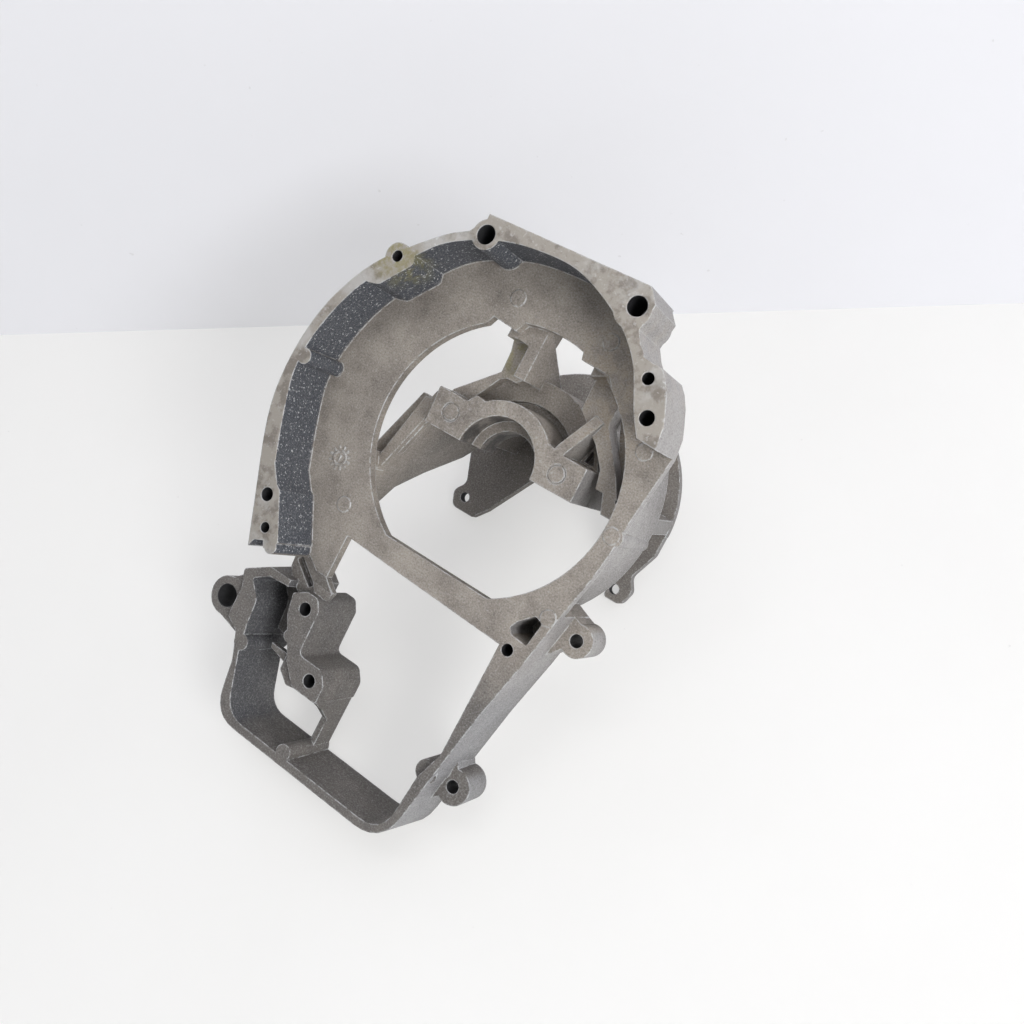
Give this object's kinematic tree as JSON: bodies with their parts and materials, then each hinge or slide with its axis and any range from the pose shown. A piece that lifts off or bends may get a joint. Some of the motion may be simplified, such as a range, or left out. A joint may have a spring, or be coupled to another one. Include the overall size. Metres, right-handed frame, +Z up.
{
  "type": "small engine crankcase half",
  "caption": "Die-cast crankcase half with a raised fan scroll, half bearing seat, half-bowl crank chamber, back flange and open lower frame.",
  "frame": {"origin": "under the centre of the bounding box, on the surface the casting lies on", "axes": "+Z up; +X along the joint line of the crank case towards the ring's deep wall side; -Y towards the lower frame; the crank axis leans 29.4 degrees from +Z towards -Y"},
  "size_m": [0.1474, 0.2102, 0.15],
  "materials": {
    "casting": "as-cast, brown-grey passivated, matt"
  },
  "bodies": {
    "root": {"crankcase": "casting"}
  },
  "joints": []
}
